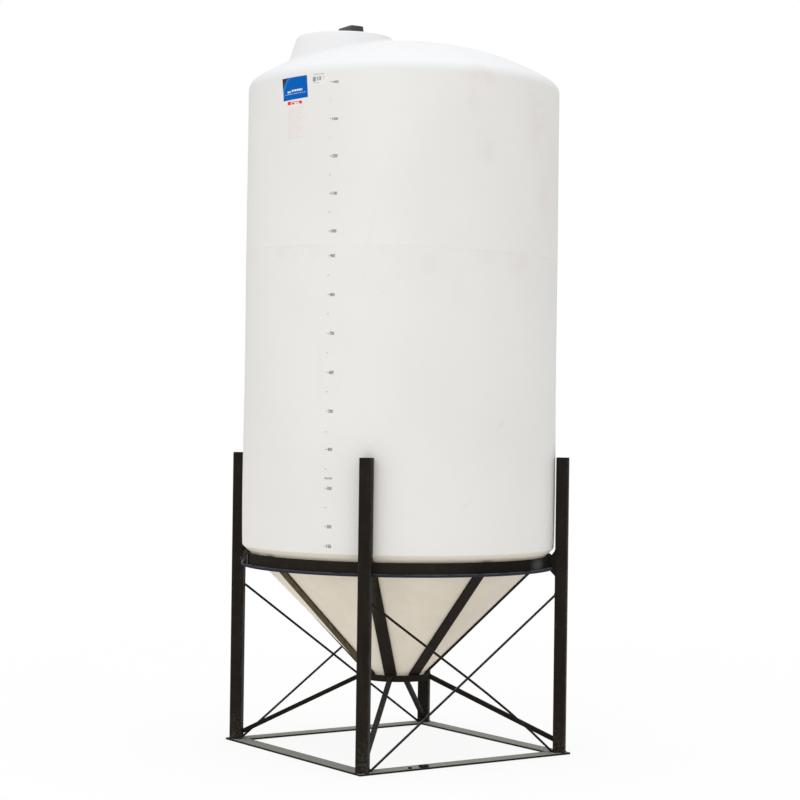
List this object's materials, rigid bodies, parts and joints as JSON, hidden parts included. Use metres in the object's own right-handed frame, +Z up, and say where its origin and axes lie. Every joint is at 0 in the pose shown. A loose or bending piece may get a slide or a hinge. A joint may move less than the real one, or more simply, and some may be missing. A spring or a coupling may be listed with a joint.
{
  "type": "cone-bottom storage tank in a steel stand",
  "caption": "White moulded plastic storage tank with a domed top, an offset manway and a cone bottom, held in a black welded steel stand with crossed rods.",
  "frame": {"origin": "on the floor, under the middle of the tank and of the stand's square base", "axes": "+Z up, X and Y along the sides of the square base, the manway towards -X"},
  "size_m": [1.6382, 1.6382, 3.7274],
  "materials": {
    "tank_plastic": "natural white moulded polyethylene, satin",
    "lid_plastic": "dark grey moulded plastic",
    "stand_paint": "black gloss enamel on mild steel",
    "bolt_steel": "zinc plated",
    "marking_ink": "printed ink",
    "label_vinyl": "printed vinyl"
  },
  "bodies": {
    "root": {"tank_wall": "tank_plastic", "tank_dome": "tank_plastic", "tank_cone": "tank_plastic", "manway_lid": "lid_plastic", "lid_vent": "lid_plastic", "base_bar_front": "stand_paint", "base_bar_right": "stand_paint", "base_bar_back": "stand_paint", "base_bar_left": "stand_paint", "leg_front_left": "stand_paint", "leg_front_right": "stand_paint", "leg_back_right": "stand_paint", "leg_back_left": "stand_paint", "top_ring": "stand_paint", "lower_ring": "stand_paint", "cone_rib_1": "stand_paint", "cone_rib_2": "stand_paint", "cone_rib_3": "stand_paint", "cone_rib_4": "stand_paint", "cone_rib_5": "stand_paint", "cone_rib_6": "stand_paint", "cone_rib_7": "stand_paint", "cone_rib_8": "stand_paint", "strut_front_left": "stand_paint", "strut_front_right": "stand_paint", "strut_back_right": "stand_paint", "strut_back_left": "stand_paint", "brace_rod_front_rising_right": "stand_paint", "brace_rod_front_rising_left": "stand_paint", "brace_rod_back_rising_right": "stand_paint", "brace_rod_back_rising_left": "stand_paint", "ring_bracket_front_left": "stand_paint", "ring_bracket_front_right": "stand_paint", "ring_bracket_back_right": "stand_paint", "ring_bracket_back_left": "stand_paint"}
  },
  "joints": []
}
